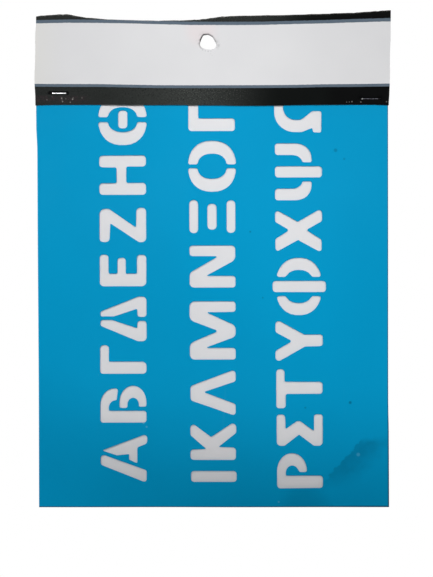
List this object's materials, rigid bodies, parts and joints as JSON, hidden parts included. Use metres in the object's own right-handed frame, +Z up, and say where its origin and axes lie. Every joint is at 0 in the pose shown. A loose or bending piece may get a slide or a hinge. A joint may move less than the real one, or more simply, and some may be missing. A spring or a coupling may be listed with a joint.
{
  "type": "lettering stencil",
  "caption": "Flat plastic lettering stencil with capital letter cut-outs and a white backing sheet, stapled into a folded header card with a hang hole.",
  "frame": {"origin": "middle of the hang hole, halfway through the header card", "axes": "+Z up as the pack hangs, front faces -Y, +X to the right seen from the front"},
  "size_m": [0.1516, 0.0022, 0.2112],
  "materials": {
    "printed_card": "coated, printed in bands",
    "blue_film": "satin",
    "white_paper": "matte",
    "staple_wire": "bright"
  },
  "bodies": {
    "pack": {"header_card": "printed_card", "stencil_sheet_top": "blue_film", "backing_sheet_top": "white_paper", "staple_left": "staple_wire", "staple_right": "staple_wire"},
    "stencil_leaf": {"stencil_sheet": "blue_film"},
    "backing_leaf": {"backing_sheet": "white_paper"}
  },
  "joints": [
    {"name": "stencil_lift", "type": "hinge", "parent": "pack", "child": "stencil_leaf", "pos_m": [0.0021, -0.00028, -0.0403], "axis": [-1, 0, 0], "range_deg": [0, 60], "stiffness_Nm_per_rad": 0.02},
    {"name": "backing_lift", "type": "hinge", "parent": "pack", "child": "backing_leaf", "pos_m": [0.0021, 0.00028, -0.0403], "axis": [1, 0, 0], "range_deg": [0, 75], "stiffness_Nm_per_rad": 0.012}
  ]
}
